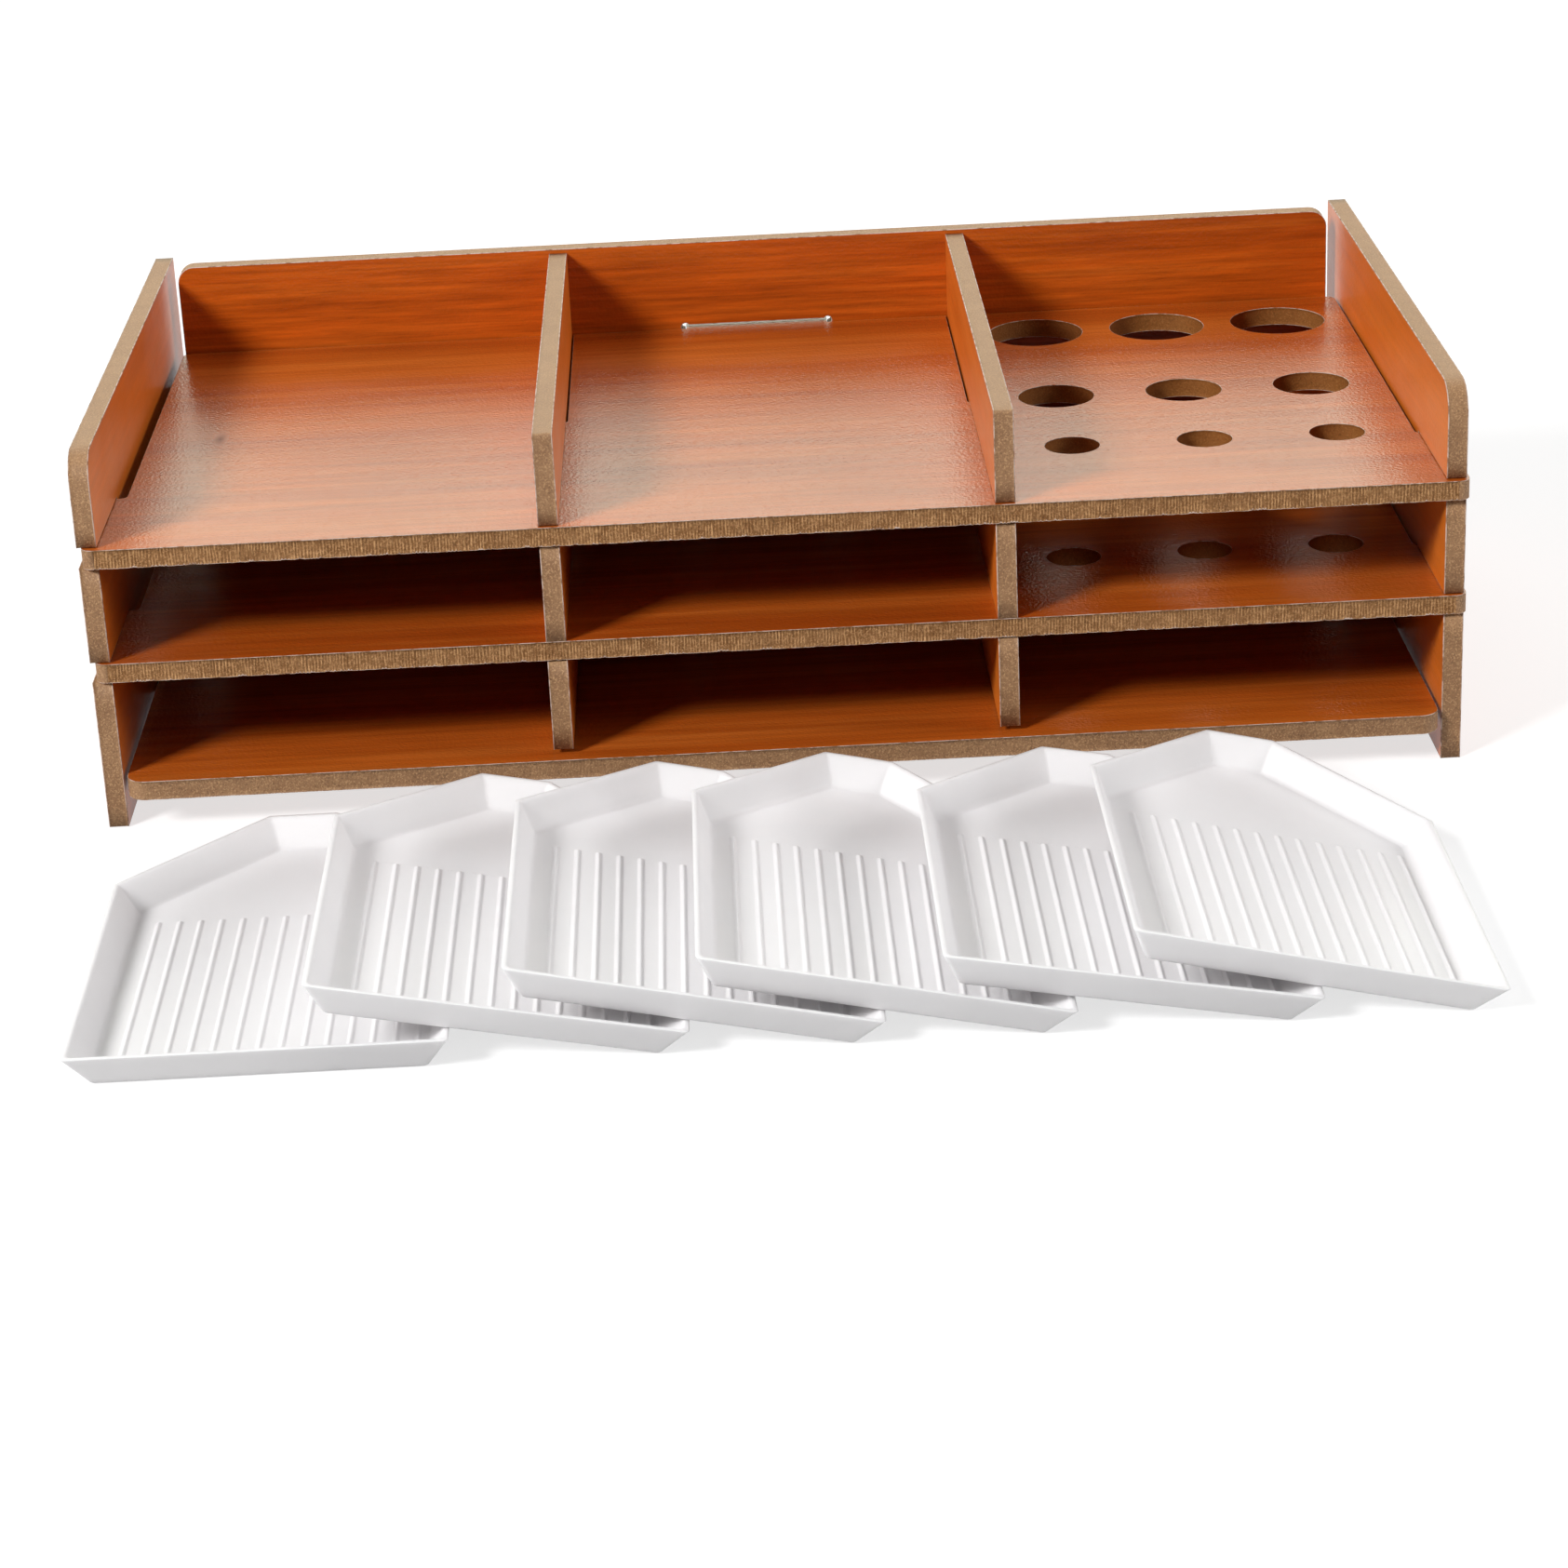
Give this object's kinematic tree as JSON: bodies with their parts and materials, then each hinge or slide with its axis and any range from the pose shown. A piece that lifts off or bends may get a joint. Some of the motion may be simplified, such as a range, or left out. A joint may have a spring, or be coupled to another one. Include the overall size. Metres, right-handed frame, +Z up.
{
  "type": "desk organizer rack with trays",
  "caption": "Low slot-together desk rack of wood-grain board with open bays, a drilled tool bay and loose house-shaped pouring trays with ribbed floors.",
  "frame": {"origin": "on the floor under the centre of the whole set, rack and tray row together", "axes": "+Z up, the rack's open front and the tray row towards -Y, +X to the right as seen from the front"},
  "size_m": [0.3408, 0.332, 0.0986],
  "materials": {
    "laminated_board": "gloss wood-grain film on both faces, raw sawn edges",
    "white_plastic": "satin moulded"
  },
  "bodies": {
    "rack": {"left_side": "laminated_board", "right_side": "laminated_board", "left_divider": "laminated_board", "right_divider": "laminated_board", "top_shelf": "laminated_board", "middle_shelf": "laminated_board", "bottom_shelf": "laminated_board", "back_panel": "laminated_board"},
    "tray_1": {"tray_1": "white_plastic"},
    "tray_2": {"tray_2": "white_plastic"},
    "tray_3": {"tray_3": "white_plastic"},
    "tray_4": {"tray_4": "white_plastic"},
    "tray_5": {"tray_5": "white_plastic"},
    "tray_6": {"tray_6": "white_plastic"}
  },
  "joints": [
    {"name": "tray_1_slide", "type": "slide", "parent": "rack", "child": "tray_1", "axis": [0, -1, 0], "range_m": [0, 0.14]},
    {"name": "tray_2_slide", "type": "slide", "parent": "rack", "child": "tray_2", "axis": [0, -1, 0], "range_m": [0, 0.14]},
    {"name": "tray_3_slide", "type": "slide", "parent": "rack", "child": "tray_3", "axis": [0, -1, 0], "range_m": [0, 0.14]},
    {"name": "tray_4_slide", "type": "slide", "parent": "rack", "child": "tray_4", "axis": [0, -1, 0], "range_m": [0, 0.14]},
    {"name": "tray_5_slide", "type": "slide", "parent": "rack", "child": "tray_5", "axis": [0, -1, 0], "range_m": [0, 0.14]},
    {"name": "tray_6_slide", "type": "slide", "parent": "rack", "child": "tray_6", "axis": [0, -1, 0], "range_m": [0, 0.14]}
  ]
}
